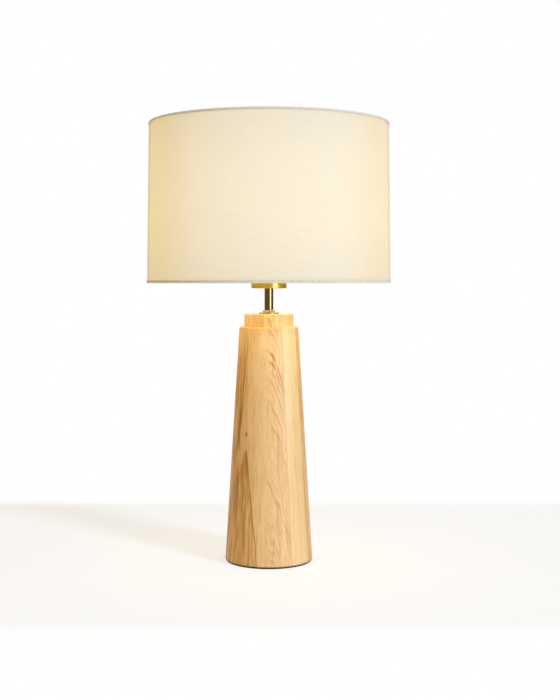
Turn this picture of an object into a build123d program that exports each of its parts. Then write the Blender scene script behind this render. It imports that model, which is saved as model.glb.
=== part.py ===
from build123d import *
import os
from math import atan, cos

# A column table lamp: a turned wooden column, a brass stem and lampholder cup, and a drum shade in linen.
# Millimetres. The lamp stands on Z = 0 with its axis on Z. The cord leaves at the back, +Y.

# ---- Wooden column ----
felt_thickness = 1.6
felt_inset = 1.0
column_foot_diameter = 107.0
column_top_diameter = 72.6
column_height = 285.0
column_shoulder_radius = 1.6
column_foot_radius = 0.5
wood_bore_diameter = 11.0
pocket_diameter = 84.0
pocket_depth = 34.0
neck_diameter = 61.0
neck_height = 16.0
neck_edge_radius = 1.3
spigot_diameter = 34.0
spigot_length = 6.0
spigot_clearance = 0.15

# ---- Rod, weight and fasteners inside the foot ----
rod_diameter = 10.0
rod_bore_diameter = 7.6
rod_clearance = 0.1
rod_tail = 3.0
weight_thickness = 12.0
weight_clearance = 1.0
washer_diameter = 30.0
washer_thickness = 1.5
nut_across_flats = 17.0
nut_height = 5.0

# ---- Cord inlet at the back ----
inlet_height = 9.0
inlet_bore_diameter = 6.6
inlet_sleeve_diameter = 9.0
inlet_flange_diameter = 14.0
inlet_flange_thickness = 2.0
inlet_seat_depth = 2.6
inlet_clearance = 0.1
inlet_mouth_chamfer = 0.6

# ---- Brass seat, stem and cup ----
seat_diameter = 25.4
seat_thickness = 1.6
boss_diameter = 16.4
boss_height = 2.8
boss_draft_degrees = 20.0
seat_edge_radius = 0.5
stem_diameter = 11.2
stem_length = 26.6
cup_diameter = 44.4
cup_wall = 0.8
cup_floor = 1.0
cup_height = 33.0
cup_edge_radius = 0.9

# ---- Lampholder inside the cup ----
casing_diameter = 36.0
casing_wall = 2.0
casing_floor = 3.0
casing_height = 23.0
casing_boss_diameter = 16.0
casing_boss_height = 9.0
ledge_depth = 5.0
ledge_width = 2.0
grub_diameter = 3.0
grub_clearance = 0.05
core_clearance = 0.2
core_thickness = 8.0
terminal_offset = 10.2
terminal_width = 6.0
terminal_height = 6.2
terminal_wire_hole = 2.6
screw_diameter = 2.8
screw_head_diameter = 4.8
screw_head_height = 1.6
rivet_diameter = 2.4
rivet_head_diameter = 4.2
rivet_head_height = 0.8
tongue_width = 5.0
tongue_thickness = 0.4
tongue_rise = 2.4
tongue_pad = 5.0

# ---- Screw thread between bulb and lampholder ----
thread_pitch = 3.629
thread_turns_in_cap = 4.6
thread_turns_in_shell = 5.0
thread_crest = 1.0
cap_core_diameter = 24.5
thread_bury = 0.15
thread_gap = 0.3
shell_thickness = 0.65
shell_height = 24.0
shell_lip = 1.4

# ---- Threaded skirt and shade ring ----
skirt_wall = 2.0
skirt_hold_thickness = 1.2
skirt_hold_gap = 0.5
shoulder_diameter = 46.0
shoulder_height = 3.0
skirt_thread_diameter = 39.5
skirt_thread_height = 20.0
skirt_groove_pitch = 2.5
skirt_groove_depth = 0.6
ring_diameter = 54.0
ring_height = 8.0
ring_clearance = 0.25
ring_grip_count = 36
ring_grip_diameter = 2.4

# ---- Bulb ----
bulb_length = 108.0
globe_diameter = 60.0
globe_wall = 1.2
cap_wall = 0.6
cap_foot_height = 7.0
cap_length = 26.0
cap_foot_diameter = 15.0
contact_diameter = 9.6
contact_tip_diameter = 4.0
contact_height = 1.8
housing_wall = 1.4
housing_height = 30.0
board_thickness = 1.6
board_clearance = 0.3
driver_width = 18.0
driver_length = 36.0
led_count = 12
led_size = 3.0
led_height = 0.8
led_circle_diameter = 34.0

# ---- Shade ----
shade_diameter = 300.0
shade_taper = 4.0
shade_height = 196.0
cup_below_shade = 6.4
linen_thickness = 0.5
liner_thickness = 0.6
wire_diameter = 3.0
trim_thickness = 0.35
glue_gap = 0.15
top_trim_height = 2.0
bottom_trim_height = 2.6
hem_depth = 8.0
fitter_diameter = 58.0
fitter_thickness = 1.5
fitter_clearance = 0.45
arm_count = 3
arm_diameter = 3.0
arm_flat_length = 9.0
arm_inner_gap = 2.5
arm_bend_radius = 12.0

# ---- Levels along the axis, from the floor up ----
column_bottom = felt_thickness
pocket_top = column_bottom + pocket_depth
weight_bottom = pocket_top - weight_thickness
washer_bottom = weight_bottom - washer_thickness
nut_bottom = washer_bottom - nut_height
rod_bottom = nut_bottom - rod_tail
inlet_level = column_bottom + inlet_height
neck_bottom = column_bottom + column_height
neck_top = neck_bottom + neck_height
boss_bottom = neck_top + seat_thickness
stem_bottom = boss_bottom + boss_height
cup_bottom = stem_bottom + stem_length
cup_top = cup_bottom + cup_height
casing_bottom = cup_bottom + cup_floor
casing_top = casing_bottom + casing_height
casing_boss_top = casing_bottom + casing_boss_height
core_bottom = casing_top - ledge_depth
core_top = core_bottom + core_thickness
terminal_bottom = core_bottom - terminal_height
lip_top = core_top + shell_thickness
shoulder_top = cup_top + shoulder_height
skirt_top = shoulder_top + skirt_thread_height
fitter_top = shoulder_top + fitter_thickness
ring_top = fitter_top + ring_height
bulb_tip = core_top + tongue_rise + tongue_thickness
cap_thread_bottom = bulb_tip + cap_foot_height
cap_top = bulb_tip + cap_length
housing_top = cap_top + housing_height
bulb_top = bulb_tip + bulb_length
shade_bottom = cup_bottom + cup_below_shade
shade_top = shade_bottom + shade_height

# ---- Radii that several pieces share ----
rod_hole_radius = rod_diameter / 2 + rod_clearance
casing_radius = casing_diameter / 2
casing_inner_radius = casing_radius - casing_wall
core_radius = casing_inner_radius - core_clearance
ledge_radius = casing_inner_radius - ledge_width
cap_core_radius = cap_core_diameter / 2
cap_crest_radius = cap_core_radius - thread_bury + thread_crest
shell_inner_radius = cap_crest_radius + thread_gap
shell_outer_radius = shell_inner_radius + shell_thickness
skirt_hold_radius = shell_outer_radius + skirt_hold_gap
lip_radius = shell_outer_radius + shell_lip
cup_inner_radius = cup_diameter / 2 - cup_wall
skirt_thread_radius = skirt_thread_diameter / 2
skirt_inner_radius = skirt_thread_radius - skirt_groove_depth - skirt_wall
wire_radius = wire_diameter / 2
arm_radius = arm_diameter / 2
globe_radius = globe_diameter / 2
housing_top_radius = globe_radius - 2 * globe_wall


def column_radius(level):
    """Radius of the column's outside at a level."""
    share = (level - column_bottom) / column_height
    return (column_foot_diameter + (column_top_diameter - column_foot_diameter) * share) / 2


def shade_radius(level):
    """Radius of the shade's outside at a level: widest at the bottom rim, narrower by the taper above."""
    return (shade_diameter - shade_taper * (level - shade_bottom) / shade_height) / 2


def save(piece, name):
    """Labels a finished piece and writes it under its own name."""
    piece.part.label = name
    export_step(piece.part, f"parts/{name}.step")


os.makedirs("parts", exist_ok=True)

# ================= Foot and column =================

with BuildPart() as felt_pad:
    with BuildSketch():
        Circle(column_foot_diameter / 2 - felt_inset)
    extrude(amount=felt_thickness)
save(felt_pad, "felt_pad")

inlet_seat = column_radius(inlet_level) - inlet_seat_depth

with BuildPart() as column:
    with BuildSketch(Plane.XZ):
        with BuildLine():
            Polyline(
                (0, column_bottom),
                (column_foot_diameter / 2, column_bottom),
                (column_top_diameter / 2, neck_bottom),
                (0, neck_bottom),
                close=True,
            )
        make_face()
    revolve(axis=Axis.Z)
    fillet(column.edges().group_by(Axis.Z)[-1], column_shoulder_radius)
    fillet(column.edges().group_by(Axis.Z)[0], column_foot_radius)
    with BuildSketch(Plane.XY.offset(column_bottom)):
        Circle(pocket_diameter / 2)
    extrude(amount=pocket_depth, mode=Mode.SUBTRACT)
    with BuildSketch(Plane.XY.offset(pocket_top)):
        Circle(wood_bore_diameter / 2)
    extrude(amount=neck_bottom - pocket_top, mode=Mode.SUBTRACT)
    with BuildSketch(Plane.XY.offset(neck_bottom - spigot_length)):
        Circle(spigot_diameter / 2 + spigot_clearance)
    extrude(amount=spigot_length, mode=Mode.SUBTRACT)
    # Cord hole through the wall at the back, with a flat seat for the bushing's flange.
    with BuildSketch(Plane.XZ.offset(-column_foot_diameter)):
        with Locations((0, inlet_level)):
            Circle(inlet_sleeve_diameter / 2 + inlet_clearance)
    extrude(amount=column_foot_diameter, mode=Mode.SUBTRACT)
    with BuildSketch(Plane.XZ.offset(-column_foot_diameter)):
        with Locations((0, inlet_level)):
            Circle(inlet_flange_diameter / 2 + inlet_clearance)
    extrude(amount=column_foot_diameter - inlet_seat, mode=Mode.SUBTRACT)
save(column, "column")

with BuildPart() as neck:
    with BuildSketch(Plane.XY.offset(neck_bottom)):
        Circle(neck_diameter / 2)
    extrude(amount=neck_height)
    fillet(neck.edges().group_by(Axis.Z)[-1], neck_edge_radius)
    with BuildSketch(Plane.XY.offset(neck_bottom)):
        Circle(spigot_diameter / 2)
    extrude(amount=-spigot_length)
    with BuildSketch(Plane.XY.offset(neck_bottom - spigot_length)):
        Circle(wood_bore_diameter / 2)
    extrude(amount=spigot_length + neck_height, mode=Mode.SUBTRACT)
save(neck, "neck")

with BuildPart() as cord_bushing:
    with BuildSketch(Plane.XZ.offset(-inlet_seat)):
        with Locations((0, inlet_level)):
            Circle(inlet_flange_diameter / 2)
    extrude(amount=-inlet_flange_thickness)
    with BuildSketch(Plane.XZ.offset(-inlet_seat)):
        with Locations((0, inlet_level)):
            Circle(inlet_sleeve_diameter / 2)
    extrude(amount=inlet_seat - pocket_diameter / 2)
    with BuildSketch(Plane.XZ.offset(-inlet_seat - inlet_flange_thickness)):
        with Locations((0, inlet_level)):
            Circle(inlet_bore_diameter / 2)
    extrude(amount=inlet_seat + inlet_flange_thickness, mode=Mode.SUBTRACT)
    outer_rims = cord_bushing.edges().filter_by(GeomType.CIRCLE).group_by(Axis.Y)[-1]
    chamfer(outer_rims.sort_by(SortBy.RADIUS)[0], inlet_mouth_chamfer)
save(cord_bushing, "cord_bushing")

# ================= Rod and its fasteners =================

with BuildPart() as threaded_rod:
    with BuildSketch(Plane.XY.offset(rod_bottom)):
        Circle(rod_diameter / 2)
        Circle(rod_bore_diameter / 2, mode=Mode.SUBTRACT)
    extrude(amount=casing_boss_top - rod_bottom)
save(threaded_rod, "threaded_rod")

with BuildPart() as foot_weight:
    with BuildSketch(Plane.XY.offset(weight_bottom)):
        Circle(pocket_diameter / 2 - weight_clearance)
        Circle(rod_hole_radius, mode=Mode.SUBTRACT)
    extrude(amount=weight_thickness)
save(foot_weight, "foot_weight")

with BuildPart() as rod_washer:
    with BuildSketch(Plane.XY.offset(washer_bottom)):
        Circle(washer_diameter / 2)
        Circle(rod_hole_radius, mode=Mode.SUBTRACT)
    extrude(amount=washer_thickness)
save(rod_washer, "rod_washer")

with BuildPart() as rod_nut:
    with BuildSketch(Plane.XY.offset(nut_bottom)):
        RegularPolygon(nut_across_flats / 2, 6, major_radius=False)
        Circle(rod_hole_radius, mode=Mode.SUBTRACT)
    extrude(amount=nut_height)
save(rod_nut, "rod_nut")

# ================= Brass seat, stem and cup =================

with BuildPart() as stem_seat:
    with BuildSketch(Plane.XY.offset(neck_top)):
        Circle(seat_diameter / 2)
    extrude(amount=seat_thickness)
    fillet(stem_seat.edges().group_by(Axis.Z)[-1], seat_edge_radius)
    with BuildSketch(Plane.XY.offset(boss_bottom)):
        Circle(boss_diameter / 2)
    extrude(amount=boss_height, taper=boss_draft_degrees)
    fillet(stem_seat.edges().group_by(Axis.Z)[-1], seat_edge_radius)
    with BuildSketch(Plane.XY.offset(neck_top)):
        Circle(rod_hole_radius)
    extrude(amount=seat_thickness + boss_height, mode=Mode.SUBTRACT)
save(stem_seat, "stem_seat")

with BuildPart() as stem_tube:
    with BuildSketch(Plane.XY.offset(stem_bottom)):
        Circle(stem_diameter / 2)
        Circle(rod_hole_radius, mode=Mode.SUBTRACT)
    extrude(amount=stem_length)
save(stem_tube, "stem_tube")

with BuildPart() as holder_cup:
    with BuildSketch(Plane.XY.offset(cup_bottom)):
        Circle(cup_diameter / 2)
    extrude(amount=cup_height)
    fillet(holder_cup.edges().group_by(Axis.Z)[0], cup_edge_radius)
    with BuildSketch(Plane.XY.offset(casing_bottom)):
        Circle(cup_inner_radius)
    extrude(amount=cup_height - cup_floor, mode=Mode.SUBTRACT)
    with BuildSketch(Plane.XY.offset(cup_bottom)):
        Circle(rod_hole_radius)
    extrude(amount=cup_floor, mode=Mode.SUBTRACT)
save(holder_cup, "holder_cup")

# ================= Lampholder =================

grub_level = casing_bottom + (casing_floor + casing_boss_height) / 2

with BuildPart() as holder_casing:
    with BuildSketch(Plane.XY.offset(casing_bottom)):
        Circle(casing_radius)
    extrude(amount=casing_height)
    with BuildSketch(Plane.XY.offset(casing_bottom + casing_floor)):
        Circle(ledge_radius)
        Circle(casing_boss_diameter / 2, mode=Mode.SUBTRACT)
    extrude(amount=core_bottom - casing_bottom - casing_floor, mode=Mode.SUBTRACT)
    with BuildSketch(Plane.XY.offset(casing_boss_top)):
        Circle(ledge_radius)
    extrude(amount=core_bottom - casing_boss_top, mode=Mode.SUBTRACT)
    with BuildSketch(Plane.XY.offset(core_bottom)):
        Circle(casing_inner_radius)
    extrude(amount=ledge_depth, mode=Mode.SUBTRACT)
    with BuildSketch(Plane.XY.offset(casing_bottom)):
        Circle(rod_hole_radius)
    extrude(amount=casing_boss_height, mode=Mode.SUBTRACT)
    with BuildSketch(Plane.XZ):
        with Locations((0, grub_level)):
            Circle(grub_diameter / 2 + grub_clearance)
    extrude(amount=casing_boss_diameter / 2, mode=Mode.SUBTRACT)
save(holder_casing, "holder_casing")

with BuildPart() as grub_screw:
    with BuildSketch(Plane.XZ.offset(rod_hole_radius)):
        with Locations((0, grub_level)):
            Circle(grub_diameter / 2)
    extrude(amount=casing_boss_diameter / 2 - rod_hole_radius)
save(grub_screw, "grub_screw")

with BuildPart() as holder_core:
    with BuildSketch(Plane.XY.offset(core_bottom)):
        Circle(core_radius)
        with Locations((-terminal_offset, 0), (terminal_offset, 0)):
            Circle(rivet_diameter / 2, mode=Mode.SUBTRACT)
    extrude(amount=core_thickness)
save(holder_core, "holder_core")

with BuildPart() as terminals:
    with BuildSketch(Plane.XY.offset(terminal_bottom)):
        with Locations((-terminal_offset, 0), (terminal_offset, 0)):
            Rectangle(terminal_width, terminal_width)
            Circle(screw_diameter / 2, mode=Mode.SUBTRACT)
    extrude(amount=terminal_height)
    with BuildSketch(Plane.XZ.offset(terminal_width)):
        with Locations(
            (-terminal_offset, core_bottom - terminal_height / 2),
            (terminal_offset, core_bottom - terminal_height / 2),
        ):
            Circle(terminal_wire_hole / 2)
    extrude(amount=-2 * terminal_width, mode=Mode.SUBTRACT)
save(terminals, "terminals")

with BuildPart() as terminal_screws:
    with BuildSketch(Plane.XY.offset(terminal_bottom - screw_head_height)):
        with Locations((-terminal_offset, 0), (terminal_offset, 0)):
            Circle(screw_head_diameter / 2)
    extrude(amount=screw_head_height)
    with BuildSketch(Plane.XY.offset(terminal_bottom)):
        with Locations((-terminal_offset, 0), (terminal_offset, 0)):
            Circle(screw_diameter / 2)
    extrude(amount=terminal_height / 2 - terminal_wire_hole / 2)
save(terminal_screws, "terminal_screws")

shell_foot_depth = shell_outer_radius - terminal_offset + rivet_head_diameter / 2

with BuildPart() as contact_tongue:
    # A bent strip: riveted end, slope and a flat pad under the bulb's tip.
    with BuildSketch(Plane.XZ.offset(-tongue_width / 2)):
        with BuildLine():
            Polyline(
                (-terminal_offset - rivet_head_diameter / 2, core_top),
                (-terminal_offset + rivet_head_diameter / 2, core_top),
                (-tongue_pad / 2, core_top + tongue_rise),
                (tongue_pad / 2, core_top + tongue_rise),
                (tongue_pad / 2, core_top + tongue_rise + tongue_thickness),
                (-tongue_pad / 2, core_top + tongue_rise + tongue_thickness),
                (-terminal_offset + rivet_head_diameter / 2, core_top + tongue_thickness),
                (-terminal_offset - rivet_head_diameter / 2, core_top + tongue_thickness),
                close=True,
            )
        make_face()
    extrude(amount=tongue_width)
    with BuildSketch(Plane.XY.offset(core_top)):
        with Locations((-terminal_offset, 0)):
            Circle(rivet_diameter / 2)
    extrude(amount=tongue_thickness, mode=Mode.SUBTRACT)
save(contact_tongue, "contact_tongue")

# The shell's ridge runs midway between the turns of the cap's ridge.
shell_ridge_radius = shell_inner_radius + thread_bury
shell_thread_bottom = cap_thread_bottom - 1.5 * thread_pitch

with BuildPart() as screw_shell:
    with BuildSketch(Plane.XY.offset(core_top)):
        Circle(shell_outer_radius)
        Circle(shell_inner_radius, mode=Mode.SUBTRACT)
    extrude(amount=shell_height)
    with BuildLine():
        shell_path = Helix(
            thread_pitch,
            thread_turns_in_shell * thread_pitch,
            shell_ridge_radius,
            (0, 0, shell_thread_bottom),
        )
    with BuildSketch(Plane(origin=shell_path @ 0, z_dir=shell_path % 0)):
        Circle(thread_crest)
    sweep(path=shell_path, is_frenet=True)
    with BuildSketch(Plane.XY.offset(core_top)):
        Circle(shell_outer_radius)
    extrude(amount=shell_height, mode=Mode.INTERSECT)
    # Turned-out lip that the skirt holds down, and the foot that takes the live rivet.
    with BuildSketch(Plane.XY.offset(core_top)):
        Circle(lip_radius)
        Circle(shell_inner_radius, mode=Mode.SUBTRACT)
        with Locations((shell_outer_radius - shell_foot_depth / 2, 0)):
            Rectangle(shell_foot_depth, tongue_width)
        with Locations((terminal_offset, 0)):
            Circle(rivet_diameter / 2, mode=Mode.SUBTRACT)
    extrude(amount=shell_thickness)
save(screw_shell, "screw_shell")

with BuildPart() as contact_rivets:
    with BuildSketch(Plane.XY.offset(core_bottom)):
        with Locations((-terminal_offset, 0), (terminal_offset, 0)):
            Circle(rivet_diameter / 2)
    extrude(amount=core_thickness + tongue_thickness)
    with BuildSketch(Plane.XY.offset(core_top + tongue_thickness)):
        with Locations((-terminal_offset, 0)):
            Circle(rivet_head_diameter / 2)
    extrude(amount=rivet_head_height)
    with BuildSketch(Plane.XY.offset(core_top + tongue_thickness)):
        with Locations((terminal_offset, 0)):
            Circle(rivet_diameter / 2)
    extrude(amount=shell_thickness - tongue_thickness)
    with BuildSketch(Plane.XY.offset(lip_top)):
        with Locations((terminal_offset, 0)):
            Circle(rivet_head_diameter / 2)
    extrude(amount=rivet_head_height)
save(contact_rivets, "contact_rivets")

groove_count = int(skirt_thread_height / skirt_groove_pitch) - 1
groove_levels = [skirt_top - (turn + 1) * skirt_groove_pitch for turn in range(groove_count)]
ridge_levels = [level for level in groove_levels if fitter_top < level - skirt_groove_depth]
ridge_levels = [level for level in ridge_levels if level + skirt_groove_depth < ring_top]

with BuildPart() as holder_skirt:
    with BuildSketch(Plane.XY.offset(casing_top)):
        Circle(cup_inner_radius - core_clearance)
    extrude(amount=cup_top - casing_top)
    with BuildSketch(Plane.XY.offset(cup_top)):
        Circle(shoulder_diameter / 2)
    extrude(amount=shoulder_height)
    with BuildSketch(Plane.XY.offset(shoulder_top)):
        Circle(skirt_thread_radius)
    extrude(amount=skirt_thread_height)
    with BuildSketch(Plane.XY.offset(casing_top)):
        Circle(casing_inner_radius)
    extrude(amount=lip_top - casing_top, mode=Mode.SUBTRACT)
    with BuildSketch(Plane.XY.offset(lip_top)):
        Circle(skirt_hold_radius)
    extrude(amount=skirt_hold_thickness, mode=Mode.SUBTRACT)
    with BuildSketch(Plane.XY.offset(lip_top + skirt_hold_thickness)):
        Circle(skirt_inner_radius)
    extrude(amount=skirt_top - lip_top - skirt_hold_thickness, mode=Mode.SUBTRACT)
    # Rounded grooves stand for the coarse outside thread that the shade ring runs on.
    with BuildSketch(Plane.XZ):
        with Locations([(skirt_thread_radius, level) for level in groove_levels]):
            Circle(skirt_groove_depth)
    revolve(axis=Axis.Z, mode=Mode.SUBTRACT)
save(holder_skirt, "holder_skirt")

with BuildPart() as shade_ring:
    with BuildSketch(Plane.XY.offset(fitter_top)):
        Circle(ring_diameter / 2)
        Circle(skirt_thread_radius + ring_clearance, mode=Mode.SUBTRACT)
        with PolarLocations(ring_diameter / 2 + ring_grip_diameter / 4, ring_grip_count):
            Circle(ring_grip_diameter / 2, mode=Mode.SUBTRACT)
    extrude(amount=ring_height)
    with BuildSketch(Plane.XZ):
        with Locations([(skirt_thread_radius, level) for level in ridge_levels]):
            Circle(skirt_groove_depth - ring_clearance)
    revolve(axis=Axis.Z)
save(shade_ring, "shade_ring")

# ================= Bulb =================

cap_foot_radius = cap_foot_diameter / 2

with BuildPart() as bulb_cap:
    with BuildSketch(Plane.XZ):
        with BuildLine():
            Polyline(
                (0, bulb_tip + cap_foot_height / 2),
                (cap_foot_radius, bulb_tip + cap_foot_height / 2),
                (cap_core_radius, cap_thread_bottom - thread_crest),
                (cap_core_radius, cap_top),
                (0, cap_top),
                close=True,
            )
        make_face()
    revolve(axis=Axis.Z)
    with BuildLine():
        cap_path = Helix(
            thread_pitch,
            thread_turns_in_cap * thread_pitch,
            cap_core_radius - thread_bury,
            (0, 0, cap_thread_bottom),
        )
    with BuildSketch(Plane(origin=cap_path @ 0, z_dir=cap_path % 0)):
        Circle(thread_crest)
    sweep(path=cap_path, is_frenet=True)
    with BuildSketch(Plane.XZ):
        with BuildLine():
            Polyline(
                (0, bulb_tip + cap_foot_height / 2),
                (cap_foot_radius - cap_wall, bulb_tip + cap_foot_height / 2),
                (cap_core_radius - 2 * cap_wall, cap_thread_bottom - thread_crest + cap_wall),
                (cap_core_radius - 2 * cap_wall, cap_top),
                (0, cap_top),
                close=True,
            )
        make_face()
    revolve(axis=Axis.Z, mode=Mode.SUBTRACT)
save(bulb_cap, "bulb_cap")

with BuildPart() as bulb_insulator:
    with BuildSketch(Plane.XZ):
        with BuildLine():
            Polyline(
                (0, bulb_tip + contact_height),
                (contact_diameter / 2, bulb_tip + contact_height),
                (cap_foot_radius, bulb_tip + cap_foot_height / 2),
                (cap_foot_radius - cap_wall, bulb_tip + cap_foot_height / 2),
                (0, bulb_tip + cap_foot_height / 2),
                close=True,
            )
        make_face()
    revolve(axis=Axis.Z)
save(bulb_insulator, "bulb_insulator")

with BuildPart() as bulb_contact:
    with BuildSketch(Plane.XZ):
        with BuildLine():
            Polyline(
                (0, bulb_tip),
                (contact_tip_diameter / 2, bulb_tip),
                (contact_diameter / 2, bulb_tip + contact_height),
                (0, bulb_tip + contact_height),
                close=True,
            )
        make_face()
    revolve(axis=Axis.Z)
save(bulb_contact, "bulb_contact")

# The housing flares from the cap to the globe's rim; both walls follow the same curve.
housing_foot_radius = cap_core_radius + housing_wall / 2


def housing_curve(inset):
    """The flare's outline, set in from the outside by a wall."""
    return Spline(
        (housing_foot_radius - inset, cap_top),
        (housing_top_radius - inset, housing_top),
        tangents=((0, 1), (0.35, 1)),
    )


with BuildPart() as bulb_housing:
    with BuildSketch(Plane.XZ):
        with BuildLine():
            outside = housing_curve(0)
            inside = housing_curve(housing_wall)
            Line(outside @ 0, inside @ 0)
            Line(outside @ 1, inside @ 1)
        make_face()
    revolve(axis=Axis.Z)
save(bulb_housing, "bulb_housing")

globe_centre = bulb_top - globe_radius


def globe_outline(radius, top_radius):
    """Rim, flank and dome of the globe as one line, from the rim to the axis."""
    flank = Spline((top_radius, housing_top), (radius, globe_centre), tangents=((0.35, 1), (0, 1)))
    dome = RadiusArc((radius, globe_centre), (0, globe_centre + radius), -radius)
    return flank, dome


with BuildPart() as bulb_globe:
    with BuildSketch(Plane.XZ):
        with BuildLine():
            globe_outline(globe_radius, housing_top_radius)
            globe_outline(globe_radius - globe_wall, housing_top_radius - globe_wall)
            Line((housing_top_radius, housing_top), (housing_top_radius - globe_wall, housing_top))
            Line((0, globe_centre + globe_radius), (0, globe_centre + globe_radius - globe_wall))
        make_face()
    revolve(axis=Axis.Z)
save(bulb_globe, "bulb_globe")

with BuildPart() as led_board:
    with BuildSketch(Plane.XY.offset(housing_top - board_thickness)):
        Circle(housing_top_radius - housing_wall - 3 * board_clearance)
    extrude(amount=board_thickness)
save(led_board, "led_board")

with BuildPart() as leds:
    with BuildSketch(Plane.XY.offset(housing_top)):
        with PolarLocations(led_circle_diameter / 2, led_count):
            Rectangle(led_size, led_size)
    extrude(amount=led_height)
save(leds, "leds")

with BuildPart() as driver_board:
    with BuildSketch(Plane.XZ.offset(-board_thickness / 2)):
        with Locations((0, housing_top - board_thickness - driver_length / 2)):
            Rectangle(driver_width, driver_length)
    extrude(amount=board_thickness)
save(driver_board, "driver_board")

# ================= Shade =================

# Depths in from the outside of the shade, square to its wall: hem strip, linen, liner, wire rings.
linen_outside = trim_thickness + glue_gap
liner_outside = linen_outside + linen_thickness
wall_inside = liner_outside + liner_thickness
wire_depth = wall_inside + glue_gap + wire_radius
wall_bottom = shade_bottom + linen_outside
wall_top = shade_top - linen_outside
bottom_wire_level = wall_bottom + wire_radius
top_wire_level = wall_top - wire_radius
wall_lean = atan(shade_taper / 2 / shade_height)


def wall_at(level, depth):
    """A point in the shade's wall: a depth in from the outside, at a level."""
    return (shade_radius(level) - depth / cos(wall_lean), level)


def taut_outline(wire_level, rim, glued_end, growth):
    """Edges whose hull is cloth pulled over a wire ring and glued down on the wall's inside."""
    with BuildLine() as lines:
        CenterArc(wall_at(wire_level, wire_depth), wire_radius + growth, 0, 360)
        Line(wall_at(rim, linen_outside - growth), wall_at(glued_end, linen_outside - growth))
        Line(wall_at(glued_end, linen_outside - growth), wall_at(glued_end, wall_inside + growth))
    return lines.edges()


def hem(wire_level, rim, wall_rim, glued_end, visible_end):
    """Profile of the strip rolled over a wire ring: long inside the shade, short outside it."""
    make_hull(taut_outline(wire_level, rim, glued_end, linen_outside))
    make_hull(taut_outline(wire_level, wall_rim, glued_end, glue_gap), mode=Mode.SUBTRACT)
    Polygon(
        wall_at(visible_end, -trim_thickness),
        wall_at(glued_end, -trim_thickness),
        wall_at(glued_end, liner_outside),
        wall_at(visible_end, liner_outside),
        align=None,
        mode=Mode.SUBTRACT,
    )


with BuildPart() as shade_fabric:
    with BuildSketch(Plane.XZ):
        with BuildLine():
            Polyline(
                wall_at(wall_bottom, linen_outside),
                wall_at(wall_top, linen_outside),
                wall_at(wall_top, liner_outside),
                wall_at(wall_bottom, liner_outside),
                close=True,
            )
        make_face()
    revolve(axis=Axis.Z)
save(shade_fabric, "shade_fabric")

with BuildPart() as shade_liner:
    with BuildSketch(Plane.XZ):
        with BuildLine():
            Polyline(
                wall_at(wall_bottom, liner_outside),
                wall_at(wall_top, liner_outside),
                wall_at(wall_top, wall_inside),
                wall_at(wall_bottom, wall_inside),
                close=True,
            )
        make_face()
    revolve(axis=Axis.Z)
save(shade_liner, "shade_liner")

with BuildPart() as top_wire:
    with BuildSketch(Plane.XZ):
        with Locations(wall_at(top_wire_level, wire_depth)):
            Circle(wire_radius)
    revolve(axis=Axis.Z)
save(top_wire, "top_wire")

with BuildPart() as bottom_wire:
    with BuildSketch(Plane.XZ):
        with Locations(wall_at(bottom_wire_level, wire_depth)):
            Circle(wire_radius)
    revolve(axis=Axis.Z)
save(bottom_wire, "bottom_wire")

with BuildPart() as fitter_ring:
    with BuildSketch(Plane.XY.offset(shoulder_top)):
        Circle(fitter_diameter / 2)
        Circle(skirt_thread_radius + fitter_clearance, mode=Mode.SUBTRACT)
    extrude(amount=fitter_thickness)
save(fitter_ring, "fitter_ring")

# Each arm lies under the fitter ring, then slopes down to the bottom wire and is welded to its inner side.
arm_start = shoulder_diameter / 2 + arm_inner_gap
arm_level = shoulder_top - arm_radius
arm_bend = fitter_diameter / 2 + arm_flat_length
arm_angles = [90 + 360 / arm_count * index for index in range(arm_count)]

with BuildPart() as spider_arms:
    for angle in arm_angles:
        arm_plane = Plane.XZ.rotated((0, 0, angle))
        with BuildLine(arm_plane) as arm_path:
            FilletPolyline(
                (arm_start, arm_level),
                (arm_bend, arm_level),
                wall_at(bottom_wire_level, wire_depth),
                radius=arm_bend_radius,
            )
        with BuildSketch(Plane(origin=arm_path.line @ 0, z_dir=arm_path.line % 0)):
            Circle(arm_radius)
        sweep(path=arm_path.line)
    add(bottom_wire.part, mode=Mode.SUBTRACT)
    add(shade_liner.part, mode=Mode.SUBTRACT)
save(spider_arms, "spider_arms")

with BuildPart() as top_trim:
    with BuildSketch(Plane.XZ):
        glued_end = wall_top - hem_depth
        hem(top_wire_level, shade_top, wall_top, glued_end, shade_top - top_trim_height)
    revolve(axis=Axis.Z)
save(top_trim, "top_trim")

with BuildPart() as bottom_trim:
    with BuildSketch(Plane.XZ):
        glued_end = wall_bottom + hem_depth
        hem(bottom_wire_level, shade_bottom, wall_bottom, glued_end, shade_bottom + bottom_trim_height)
    revolve(axis=Axis.Z)
    add(spider_arms.part, mode=Mode.SUBTRACT)
save(bottom_trim, "bottom_trim")
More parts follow.
